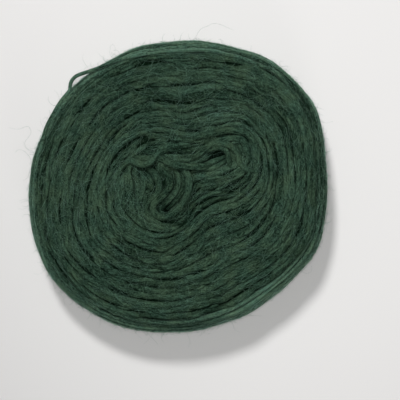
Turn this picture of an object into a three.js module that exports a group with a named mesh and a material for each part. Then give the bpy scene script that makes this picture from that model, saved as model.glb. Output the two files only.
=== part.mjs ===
// Wheel of unspun yarn: one soft strand of roving laid flat, turn inside turn, into a disc about
// 203 mm across and 42 mm thick. Its open middle has closed into a bent crease, and one outer turn
// has slipped off the rim as a short loose loop.
// Millimetres, +Z up. The wheel rests on Z = 0 with its centre over the origin.

import * as THREE from "three";

// Driving sizes
const WHEEL_HEIGHT = 42; // from the resting face to the highest turns
const CREASE_FLOOR = 33; // height of the bottom of the crease
const TURN_PITCH = 3; // usual distance between neighbouring turns
const SWELL = 0.7; // how far the upper face rises and falls around the wheel
const SWELL_WAVES = 2; // rises in one round
const SWELL_SLANT = 0.35; // how far each turn's rises lie round from its neighbour's, in radians
const SWELL_FADE = 4; // how fast the swell dies out down the rim
const STRAND = 2.6; // thickness of the loose strand

// Fineness
const STEPS_PER_SIDE = 5; // columns of points between two neighbouring sides of the chart
const RIDGE_RINGS = [0, 0.25, 0.75]; // rings of points across each ridge, the first in its groove
const LOOSE_STEP = 1.2 * STRAND; // short enough for the bend of the loop
const LOOSE_FACES = 8;

const WOOL = new THREE.MeshStandardMaterial({ color: 0x33483a, roughness: 0.95, metalness: 0 });

// The chart says where the turns run, seen from above. A row is one side of the wheel, named by its
// compass point, with the place [x, y] of six key turns there, from the outer oval to the S of the
// crease. KEY_TURNS gives the number of each, counted inwards from the rim.
const KEY_TURNS = { rim: 0, wide: 12, mid: 17, near: 20, inner: 23, crease: 27 };
const CHART = [
  { side: "E", rim: [101, 14.5], wide: [68.5, 17.5], mid: [60, 17.5],
    near: [52.5, 19], inner: [49, 19], crease: [43, 24] },
  { side: "ENE", rim: [93.5, 54], wide: [62.5, 38], mid: [55, 32.5],
    near: [50.5, 30.5], inner: [47, 29], crease: [42, 25] },
  { side: "NE", rim: [66.5, 83.5], wide: [45.5, 53], mid: [41, 43],
    near: [40, 35.5], inner: [39.5, 32], crease: [38, 24] },
  { side: "NNE", rim: [34, 96], wide: [24.5, 56.5], mid: [24, 39],
    near: [24, 31.5], inner: [25, 28], crease: [25.5, 18] },
  { side: "N", rim: [4, 99.5], wide: [5, 51.5], mid: [8, 36],
    near: [8, 27], inner: [8, 22.5], crease: [10, 12.5] },
  { side: "NNW", rim: [-36.5, 91.5], wide: [-19, 53], mid: [-19, 38],
    near: [-17.5, 29], inner: [-15.5, 24], crease: [0.5, 10] },
  { side: "NW", rim: [-78, 60.5], wide: [-45, 38], mid: [-41, 24.5],
    near: [-35.5, 14.5], inner: [-28.5, 12], crease: [1.5, 4] },
  { side: "WNW", rim: [-101, 7], wide: [-64.5, 2.5], mid: [-53, -2.5],
    near: [-45, -7.5], inner: [-24, -4], crease: [0.5, -2.5] },
  { side: "W", rim: [-91, -56], wide: [-64, -33.5], mid: [-46, -28.5],
    near: [-39.5, -24], inner: [-24.5, -15], crease: [-4.5, -10] },
  { side: "WSW", rim: [-48.5, -92], wide: [-39.5, -57], mid: [-27, -43.5],
    near: [-24, -34], inner: [-17.5, -22], crease: [-9, -15.5] },
  { side: "SW", rim: [0, -100], wide: [-9, -63], mid: [-9, -46],
    near: [-9, -36], inner: [-5.5, -25], crease: [-8, -18] },
  { side: "SSW", rim: [38, -91.5], wide: [13, -56.5], mid: [8, -36.5],
    near: [4, -29], inner: [5, -21], crease: [-2, -11] },
  { side: "S", rim: [61, -78], wide: [27, -48.5], mid: [22, -23],
    near: [13, -18.5], inner: [10, -12], crease: [3.5, -2.5] },
  { side: "SSE", rim: [80, -62], wide: [45.5, -41], mid: [35.5, -17.5],
    near: [24, -11], inner: [20.5, -4], crease: [5.5, 8.5] },
  { side: "SE", rim: [95, -42.5], wide: [59, -28.5], mid: [49, -10],
    near: [38, -6], inner: [34, -0.5], crease: [25, 15.5] },
  { side: "ESE", rim: [101, -17.5], wide: [68, -8], mid: [58.5, 2.5],
    near: [49, 4], inner: [45.5, 7.5], crease: [39, 20.5] },
];
const SIDES = CHART.map((row) => row.side);
const STEPS = SIDES.length * STEPS_PER_SIDE;

// The section through the wheel's skin, from the crease over the upper face and down round the rim
// to the edge of the resting face.
const SECTION = [
  { turn: 27, z: CREASE_FLOOR },
  { turn: 26.5, z: 38 },
  { turn: 25, z: WHEEL_HEIGHT - 1.5 },
  { turn: 23, z: WHEEL_HEIGHT - 1.5 },
  { turn: 19, z: WHEEL_HEIGHT - 2 },
  { turn: 13, z: WHEEL_HEIGHT - 1.5 },
  { turn: 8, z: WHEEL_HEIGHT },
  { turn: 4.5, z: WHEEL_HEIGHT - 0.5 },
  { turn: 2, z: WHEEL_HEIGHT - 3.5 },
  { turn: 0.6, z: 32 },
  { turn: 0, z: 21 },
  { turn: 0.5, z: 10 },
  { turn: 1.6, z: 3.5 },
  { turn: 3.4, z: 0 },
];

// Groups of turns stand out as ridges, in order from the crease to the resting face. The groove
// inside each is deepest at one side and keeps only a share of its depth on the far side.
const RIDGES = [
  { name: "crease lip", width: 5, groove: 0, deepest: "N", share: 1 },
  { name: "crease band", width: 6, groove: 1.9, deepest: "S", share: 0.4 },
  { name: "swirl inside", width: 5.5, groove: 2.6, deepest: "W", share: 0.5 },
  { name: "swirl outside", width: 6.5, groove: 2.9, deepest: "NW", share: 0.5 },
  { name: "curl inside", width: 7.5, groove: 2.2, deepest: "SE", share: 0.7 },
  { name: "curl outside", width: 6, groove: 2.4, deepest: "NE", share: 0.5 },
  { name: "fan", width: 8, groove: 2.6, deepest: "S", share: 0.6 },
  { name: "S bend", width: 7, groove: 2.2, deepest: "SSE", share: 0.6 },
  { name: "face 1", width: 8.5, groove: 2.6, deepest: "W", share: 0.7 },
  { name: "face 2", width: 6.5, groove: 2.2, deepest: "NNE", share: 0.6 },
  { name: "face 3", width: 8, groove: 2.6, deepest: "SW", share: 0.7 },
  { name: "face 4", width: 7, groove: 1.9, deepest: "E", share: 0.5 },
  { name: "shoulder", width: 6.5, groove: 2.4, deepest: "NW", share: 0.7 },
  { name: "rim 1", width: 7.5, groove: 2.2, deepest: "S", share: 0.7 },
  { name: "rim 2", width: 7, groove: 2.4, deepest: "NE", share: 0.6 },
  { name: "rim 3", width: 8, groove: 2.2, deepest: "WSW", share: 0.7 },
  { name: "rim 4", width: 6.5, groove: 2.4, deepest: "SE", share: 0.6 },
  { name: "rim 5", width: 7, groove: 2.2, deepest: "N", share: 0.7 },
  { name: "lower edge", width: 6.5, groove: 1.7, deepest: "W", share: 0.7 },
];

// Middle of the loose strand, [x, y, z] by hand: it comes off the shoulder in the north-west, swings
// out past the rim and hangs a little, and lies back against the shoulder further round.
const LOOSE_ROUTE = [
  [-20.5, 89.5, 39.5],
  [-28, 88, 39],
  [-35, 86.5, 38.5],
  [-47.5, 82.5, 36.5],
  [-53.5, 80, 35],
  [-59.5, 78, 33],
  [-65, 76.5, 30],
  [-69, 75, 28.5],
  [-71.5, 73, 27.5],
  [-73, 70.5, 27.5],
  [-73.5, 67.5, 28.5],
  [-74, 64.5, 30],
  [-79.5, 57.5, 31.5],
  [-84.5, 49, 32.5],
  [-89, 40, 34.5],
  [-91.5, 31.5, 36],
];

const keyCurves = Object.keys(KEY_TURNS).map((name) => ({
  turn: KEY_TURNS[name],
  curve: new THREE.CatmullRomCurve3(
    CHART.map((row) => new THREE.Vector3(...row[name], 0)),
    true,
    "catmullrom",
  ),
}));
const LAST_TURN = KEY_TURNS.crease;

/** How fast the chart moves with the turn at a key curve, from its neighbours on both sides. */
function slope(places, index) {
  const before = Math.max(index - 1, 0);
  const after = Math.min(index + 1, keyCurves.length - 1);
  const turns = keyCurves[after].turn - keyCurves[before].turn;
  return places[after].clone().sub(places[before]).divideScalar(turns);
}

/** Place of a turn at a side of the wheel, on a smooth cubic between the key turns' curves. */
function plan(turn, side) {
  const t = side / SIDES.length;
  const places = keyCurves.map((key) => key.curve.getPoint(t - Math.floor(t)));
  const depth = Math.min(Math.max(turn, 0), LAST_TURN);
  const next = Math.max(1, keyCurves.findIndex((key) => key.turn >= depth));
  const last = next - 1;
  const span = keyCurves[next].turn - keyCurves[last].turn;
  const u = (depth - keyCurves[last].turn) / span;
  return new THREE.Vector3()
    .addScaledVector(places[last], 2 * u ** 3 - 3 * u ** 2 + 1)
    .addScaledVector(slope(places, last), span * (u ** 3 - 2 * u ** 2 + u))
    .addScaledVector(places[next], 3 * u ** 2 - 2 * u ** 3)
    .addScaledVector(slope(places, next), span * (u ** 3 - u ** 2));
}

/** Depth of the groove inside a ridge at a side of the wheel. */
function grooveDepth(ridge, side) {
  const away = ((side - SIDES.indexOf(ridge.deepest)) / SIDES.length) * 2 * Math.PI;
  return ridge.groove * (ridge.share + (1 - ridge.share) * (0.5 + 0.5 * Math.cos(away)));
}

/** Rings of the skin in order: where each lies on the section, and between which two grooves. */
function skinRings() {
  const wholeWidth = RIDGES.reduce((sum, ridge) => sum + ridge.width, 0);
  const restingEdge = { groove: 0, deepest: SIDES[0], share: 1 };
  const rings = [];
  let start = 0;
  RIDGES.forEach((ridge, i) => {
    const outer = RIDGES[i + 1] ?? restingEdge;
    for (const across of RIDGE_RINGS)
      rings.push({ at: (start + across * ridge.width) / wholeWidth, across, inner: ridge, outer });
    start += ridge.width;
  });
  rings.push({ at: 1, across: 0, inner: restingEdge, outer: restingEdge });
  return rings;
}

const section = new THREE.SplineCurve(
  SECTION.map((row) => new THREE.Vector2(row.turn * TURN_PITCH, row.z)),
);

/** Point of a ring at a side: on the section, sunk below it by the groove or beside the crest. */
function skinPoint(ring, side) {
  const place = section.getPointAt(ring.at);
  const along = section.getTangentAt(ring.at);
  const turn = place.x / TURN_PITCH;
  const crowding = plan(turn - 0.5, side).distanceTo(plan(turn + 0.5, side)) / TURN_PITCH;
  const groove = THREE.MathUtils.lerp(
    grooveDepth(ring.inner, side),
    grooveDepth(ring.outer, side),
    ring.across,
  );
  const sunk = groove * Math.min(crowding, 1) * (1 - Math.sin(Math.PI * ring.across));
  const point = plan(turn + (sunk * -along.y) / TURN_PITCH, side);
  const wave = Math.sin((2 * Math.PI * SWELL_WAVES * side) / SIDES.length + SWELL_SLANT * turn);
  point.z = place.y + sunk * along.x + SWELL * wave * (place.y / WHEEL_HEIGHT) ** SWELL_FADE;
  return point;
}

/** The wound wheel: its skin ring by ring, the crease's floor and the flat resting face. */
function woundWheel() {
  const rings = skinRings();
  const points = rings.flatMap((ring) =>
    Array.from({ length: STEPS }, (_, step) => skinPoint(ring, step / STEPS_PER_SIDE)),
  );
  const index = (ring, step) => ring * STEPS + (step % STEPS);
  const faces = [];
  for (let ring = 0; ring + 1 < rings.length; ring++)
    for (let step = 0; step < STEPS; step++) {
      const corners = [
        index(ring, step),
        index(ring + 1, step),
        index(ring + 1, step + 1),
        index(ring, step + 1),
      ];
      faces.push(corners[0], corners[1], corners[2], corners[0], corners[2], corners[3]);
    }

  const creaseEdge = points.slice(0, STEPS).map((p) => new THREE.Vector2(p.x, p.y));
  faces.push(...THREE.ShapeUtils.triangulateShape(creaseEdge, []).flat());

  const lowest = rings.length - 1;
  const middle = points.push(new THREE.Vector3(0, 0, 0)) - 1;
  for (let step = 0; step < STEPS; step++)
    faces.push(middle, index(lowest, step + 1), index(lowest, step));

  const geometry = new THREE.BufferGeometry().setFromPoints(points).setIndex(faces);
  geometry.computeVertexNormals();
  return new THREE.Mesh(geometry, WOOL);
}

/** The loose stretch of strand: a round section carried along its route. */
function looseStrand() {
  const route = new THREE.CatmullRomCurve3(LOOSE_ROUTE.map((point) => new THREE.Vector3(...point)));
  const corners = Array.from({ length: LOOSE_FACES }, (_, i) => {
    const angle = (2 * Math.PI * i) / LOOSE_FACES;
    return new THREE.Vector2(Math.cos(angle), Math.sin(angle)).multiplyScalar(STRAND / 2);
  });
  const geometry = new THREE.ExtrudeGeometry(new THREE.Shape(corners), {
    extrudePath: route,
    steps: Math.round(route.getLength() / LOOSE_STEP),
  });
  return new THREE.Mesh(geometry, WOOL);
}

const wheel = woundWheel();
wheel.name = "wound_wheel";
const loose = looseStrand();
loose.name = "loose_turn";

const group = new THREE.Group();
group.add(wheel, loose);

export default group;
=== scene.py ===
"""A wheel of unspun yarn, dressed around its solid model for Blender 4.5.

One soft strand of roving is carried turn after turn over the whole skin of the wheel: out from the
crease over the upper face, down the rim and back in underneath. All places are in the frame of the
solid model. Tables are in millimetres and become metres where a mesh is made.
"""

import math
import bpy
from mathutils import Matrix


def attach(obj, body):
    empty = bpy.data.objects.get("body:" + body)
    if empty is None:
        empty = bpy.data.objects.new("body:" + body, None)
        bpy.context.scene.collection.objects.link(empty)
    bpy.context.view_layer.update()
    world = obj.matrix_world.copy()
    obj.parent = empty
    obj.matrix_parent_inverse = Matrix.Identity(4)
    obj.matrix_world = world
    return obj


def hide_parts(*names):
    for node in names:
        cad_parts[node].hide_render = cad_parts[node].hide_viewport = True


bl_info = {
    "name": "Wheel of unspun yarn",
    "version": (1, 0, 0),
    "blender": (4, 5, 0),
    "location": "3D View > Sidebar > Yarn",
    "description": "Builds a wound wheel of unspun roving around its solid model",
    "category": "Add Mesh",
}

from functools import partial

import bpy
import numpy as np
from mathutils import Vector

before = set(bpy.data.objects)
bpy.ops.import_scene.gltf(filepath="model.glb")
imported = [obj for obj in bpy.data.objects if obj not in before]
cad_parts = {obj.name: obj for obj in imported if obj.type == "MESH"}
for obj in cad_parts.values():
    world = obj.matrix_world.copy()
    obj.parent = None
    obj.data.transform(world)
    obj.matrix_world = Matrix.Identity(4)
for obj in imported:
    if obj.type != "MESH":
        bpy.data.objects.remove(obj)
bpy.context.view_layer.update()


def table(columns, *rows):
    """A table's rows as dictionaries, by the names of its columns."""
    return tuple(dict(zip(columns.split(), row, strict=True)) for row in rows)


def by_name(rows):
    """The rows of a table in a dictionary, each under its name."""
    return {row["name"]: row for row in rows}


MM = 0.001
UP = (0.0, 0.0, 1.0)
WHEEL_NODE = "wound_wheel"
LOOSE_NODE = "loose_turn"
BODY = "root"

# Camera, floor and light, as the photograph shows them. Its frame is 400 by 400 pixels.
FRAME_PX = 400
PX_MM = 0.68
WHEEL_MIDDLE_PX = (178, 186)
CAMERA_HEIGHT = 1.25
FOCUS_HEIGHT = 0.03
WORLD_STRENGTH = 0.12
FLOOR_HALF = 3.0
FLOOR_ROUGHNESS = 0.9

# Lamps: the middle of the lit place (x, y), azimuth and elevation of the lamp as seen from there
# in degrees, its distance and width in metres and its power, and for a spot the radius of the pool
# of light and the softness of the pool's edge.
LAMPS = table(
    "name kind middle toward reach size energy pool blend",
    ("key_light", "SPOT", (95, 120), (112.5, 55), 2.4, 0.42, 155, 0.46, 0.62),
    ("fill_light", "AREA", (20, -20), (110, 89), 2.0, 0.4, 14.8, 0, 0),
    ("low_light", "AREA", (0, 0), (285, 22), 2.0, 0.8, 4.5, 0, 0),
)

# The chart says where the turns run, seen from above. A row is one side of the wheel, named by its
# compass point, with the place (x, y) of six key turns there, from the outer oval to the S of the
# crease. KEY_TURNS gives the number of each, counted inwards from the rim.
KEY_TURNS = {"rim": 0, "wide": 12, "mid": 17, "near": 20, "inner": 23, "crease": 27}
CHART = table(
    "side rim wide mid near inner crease",
    ("E", (101, 14.5), (68.5, 17.5), (60, 17.5), (52.5, 19), (49, 19), (43, 24)),
    ("ENE", (93.5, 54), (62.5, 38), (55, 32.5), (50.5, 30.5), (47, 29), (42, 25)),
    ("NE", (66.5, 83.5), (45.5, 53), (41, 43), (40, 35.5), (39.5, 32), (38, 24)),
    ("NNE", (34, 96), (24.5, 56.5), (24, 39), (24, 31.5), (25, 28), (25.5, 18)),
    ("N", (4, 99.5), (5, 51.5), (8, 36), (8, 27), (8, 22.5), (10, 12.5)),
    ("NNW", (-36.5, 91.5), (-19, 53), (-19, 38), (-17.5, 29), (-15.5, 24), (0.5, 10)),
    ("NW", (-78, 60.5), (-45, 38), (-41, 24.5), (-35.5, 14.5), (-28.5, 12), (1.5, 4)),
    ("WNW", (-101, 7), (-64.5, 2.5), (-53, -2.5), (-45, -7.5), (-24, -4), (0.5, -2.5)),
    ("W", (-91, -56), (-64, -33.5), (-46, -28.5), (-39.5, -24), (-24.5, -15), (-4.5, -10)),
    ("WSW", (-48.5, -92), (-39.5, -57), (-27, -43.5), (-24, -34), (-17.5, -22), (-9, -15.5)),
    ("SW", (0, -100), (-9, -63), (-9, -46), (-9, -36), (-5.5, -25), (-8, -18)),
    ("SSW", (38, -91.5), (13, -56.5), (8, -36.5), (4, -29), (5, -21), (-2, -11)),
    ("S", (61, -78), (27, -48.5), (22, -23), (13, -18.5), (10, -12), (3.5, -2.5)),
    ("SSE", (80, -62), (45.5, -41), (35.5, -17.5), (24, -11), (20.5, -4), (5.5, 8.5)),
    ("SE", (95, -42.5), (59, -28.5), (49, -10), (38, -6), (34, -0.5), (25, 15.5)),
    ("ESE", (101, -17.5), (68, -8), (58.5, 2.5), (49, 4), (45.5, 7.5), (39, 20.5)),
)

# The section through the skin as (turn, height), with turns TURN_PITCH apart: from the crease over
# the upper face, down round the rim and in again along the resting face.
WHEEL_HEIGHT = 42
TURN_PITCH = 3
SECTION = (
    (27, 33), (26.5, 38), (25, 40.5), (23, 40.5), (19, 40), (13, 40.5), (8, 42), (4.5, 41.5),
    (2, 38.5), (0.6, 32), (0, 21), (0.5, 10), (1.6, 3.5), (3.4, 0), (8, 0), (16, 0), (26, 0.5),
)

# The upper face swells by a wave round the wheel: its height, how many waves a round, their slant
# in radians a turn, and the power by which they fade down the rim.
SWELL = 0.7
SWELL_WAVES = 2
SWELL_SLANT = 0.35
SWELL_FADE = 4

# Steps in which the section is measured, and a round of the spiral or a laid strand, and the steps
# each way, in rounds along and across, from which the skin's directions are taken.
SECTION_STEPS = 1200
CURVE_STEPS = 400
STEP_ALONG = 0.002
STEP_ACROSS = 0.4

# Rounds of the strand from the crease and the distance they take along the section. Rounds lie
# STRAND_PITCH apart on the face, and closer near the crease and on the rim.
STRAND_PITCH = 4.5
WINDING = table(
    "round distance",
    (0, 0),
    (8, 24.8),
    (12, 40.3),
    (20.5, 78.6),
    (35.5, 132),
    (50, 198),
)

# Stretches of the winding, each by its first and last round from the crease: its column of
# SIDE_LIGHT_TONES, the painted light and shade by side, and what the ring step, the spacing of its
# wander and its width are times there.
STRETCHES = by_name(table(
    "name start stop tones step calm fullness",
    ("face", 0.2, 20.5, "face", 1, 1, 1),
    ("rim", 20.5, 35.5, "rim", 1.5, 1.4, 0.8),
    ("under", 35.5, 50, "face", 2.4, 1, 1),
))

# Rounds between which the wheel is at its widest.
WIDEST_ROUNDS = (23.5, 28.5)

# Section of the wound strand: half its width as a share of the room between the turns, the least
# and the most of that, and half its height. Its wander eases with the room, within EASE.
HALF_SHARE = 0.49
HALF_WIDTHS = (1.4, 4.2)
HALF_HEIGHT = 1.8
EASE = (0.35, 1.6)

# What wanders along the wound strand, along its locks and along the laid strands: the height and
# the spacing of each random curve that is summed.
WANDERS = {
    "width": ((0.25, 11), (0.3, 24)),
    "height": ((0.25, 30),),
    "swing": ((0.35, 9), (0.55, 20), (0.8, 52)),
    "sink": ((1, 45),),
    "lift": ((0.4, 15), (0.4, 44)),
    "tone": ((0.45, 42),),
    "lock angle": ((0.5, 14), (0.5, 40)),
    "lock reach": ((0.12, 11),),
    "lock thickness": ((0.2, 10),),
    "lock tone": ((0.3, 22),),
    "laid width": ((0.25, 12),),
    "laid height": ((0.1, 12),),
    "laid tone": ((0.3, 30),),
}

# How deep every second turn sinks where they are crowded, any turn here and there, and the turns
# beside a parting.
CROWDED_SINK = 2.2
STRAY_SINK = 1.6
PARTED_SINK = 1.1

# Painted shade in the grooves: heights over the skin at which the wool's colour is fully darkened,
# as deep in a groove, and at which it is left unshaded, on a strand and laid over strands.
FULL_SHADE_HEIGHT = -2.4
UNSHADED_STRAND_TOP = -0.2
UNSHADED_LAID_TOP = -0.3

# Painted light and shade by the side of the wheel: how much brighter the wool of the upper face and
# of the rim is made there, and darker below nought, eastwards first and then on to the north and
# round, standing in for how the lamps fall on each side.
SIDE_LIGHT_TONES = table(
    "side face rim",
    ("E", -0.05, -0.5),
    ("NE", 0, -0.25),
    ("N", -0.05, 0),
    ("NW", -0.05, -0.45),
    ("W", -0.05, -0.25),
    ("SW", -0.16, -0.05),
    ("S", -0.14, 0.4),
    ("SE", -0.05, -0.1),
)

# Where neighbouring turns part and show the dark between them: how far each side moves off the
# line, and the line's points (x, y). The move falls off over PARTING_REACH.
PARTING_REACH = 2.0
PARTINGS = table(
    "name push route",
    ("NW long", 1.1, ((-31, 47.5), (-36, 42), (-40.5, 38), (-46, 32), (-52.5, 24), (-56.5, 18.5),
        (-60, 11))),
    ("NW upper", 0.9, ((-2, 51.5), (-12, 51), (-23.5, 51.5), (-31, 49), (-37, 46.5), (-48, 44))),
    ("N shoulder", 1, ((-2, 65.5), (-14, 65.5), (-22, 64.5), (-27.5, 62.5), (-31, 58.5),
        (-34.5, 52.5))),
    ("NW rim", 1, ((-79.5, 51.5), (-71.5, 62), (-61.5, 70.5), (-48, 78), (-37, 82.5))),
    ("W rim", 0.8, ((-84.5, 45), (-88, 36.5), (-91.5, 26), (-93, 21))),
    ("S long", 1.1, ((-53, -47.5), (-48, -54.5), (-42, -57), (-33.5, -58), (-23, -60.5), (-15.5, -62.5),
        (-7, -62), (1.5, -60.5), (10, -59.5), (15, -57), (20, -54.5))),
    ("S inner", 0.9, ((-43, -35), (-36, -38.5), (-29, -40), (-24, -43.5), (-15, -44), (-5.5, -46),
        (1.5, -44), (5.5, -40), (8, -36), (14, -30), (19, -25.5))),
    ("swirl foot", 0.9, ((-15.5, -36), (-9, -36), (-2, -34), (3, -30.5))),
    ("SW", 0.8, ((-42, -63), (-33.5, -66.5), (-26.5, -70), (-19, -72.5))),
    ("SW rim", 1, ((-53, -76), (-46, -80), (-39, -82.5), (-31, -84.5), (-22, -88), (-9, -90.5))),
    ("SW edge", 1.1, ((-88, -47), (-82, -57), (-75, -64.5), (-66, -72.5), (-57, -79.5), (-46, -86),
        (-34, -90))),
    ("SE rim", 1, ((56, -67.5), (49, -70.5), (42, -73.5), (36, -77.5), (28.5, -81), (20, -85),
        (11.5, -87))),
    ("S rim", 1, ((56, -73.5), (47.5, -79), (37.5, -83.5), (29, -87.5), (20.5, -91), (13.5, -94),
        (6.8, -95.7), (-7.5, -96), (-19, -94.5))),
    ("SE", 0.8, ((56, -47.5), (48, -48.5), (42, -51), (37, -54.5))),
    ("N rim", 0.9, ((28.5, 91), (36, 90.5), (43.5, 89), (49, 86.5), (57, 82.5), (62.5, 80.5))),
    ("NE rim", 1.1, ((28.5, 84.5), (40, 83.5), (47.5, 82.5), (53.5, 79.5), (60.5, 78), (66.5, 75),
        (71.5, 71.5), (78.5, 66), (84.5, 59), (90, 48.5), (93, 38))),
    ("NE", 0.9, ((28.5, 67), (33, 65.5), (40, 63), (47.5, 62.5), (52, 58.5), (56, 55.5))),
    ("E", 0.8, ((68, 49.5), (71.5, 43.5), (75.5, 41))),
    ("curl top", 1.1, ((15, 27), (22.5, 30), (32, 34), (39.5, 35.5), (44.5, 32), (48, 28.5))),
    ("swirl left", 1.1, ((-30, 15), (-34.5, 14.5), (-39.5, 7.5), (-44.5, 0), (-47, -9.5),
        (-48, -16.5))),
    ("swirl eye", 1, ((-18.5, -17), (-15.5, -22.5), (-9.5, -24.5), (-2, -25), (5, -23))),
    ("tongue left", 1, ((-22.5, 10), (-19.5, 7), (-16, 3.5), (-17.5, -0.5), (-19.5, -2.5),
        (-22.5, -5.5), (-23.5, -9.5), (-22.5, -15.5))),
    ("tongue middle", 1, ((-10.5, 7), (-10, 2), (-12, -2.5), (-15, -5.5), (-17.5, -8), (-19, -12.5),
        (-18.5, -17), (-15.5, -20.5))),
    ("tongue right", 1, ((-3, 7.5), (-2, 4), (-4.5, -0.5), (-7.5, -5.5), (-11, -9), (-13.5, -12.5),
        (-12, -16.5), (-9, -18.5))),
    ("under the lip", 1.3, ((-26, 13), (-22, 12), (-18, 12), (-13.5, 14))),
    ("over the lip", 0.9, ((-27, 21), (-22.5, 21.5), (-18.5, 23), (-15.5, 24.5))),
    ("lip arch", 1, ((-29, 26), (-25, 30.5), (-21, 32.5), (-16.5, 30.5))),
    ("over the bridge", 1, ((-8.5, 21), (-4.5, 22), (0, 23.5), (6, 24.5))),
    ("pocket", 1.6, ((23, 18.5), (27, 19.5), (31.5, 22))),
    ("swirl side", 0.9, ((-35.5, -14.5), (-32.5, -19.5), (-26.5, -25.5), (-22, -28))),
    ("fan upper", 1, ((10, -21.5), (15.5, -16.5), (22.5, -13), (32, -10), (40.5, -7))),
    ("fan middle", 0.9, ((35.5, -19), (42, -17), (49, -13), (55, -6))),
    ("fan lower", 0.8, ((-2, -44), (5, -41), (11.5, -35), (18.5, -28), (25, -25.5), (33.5, -25))),
)

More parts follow.
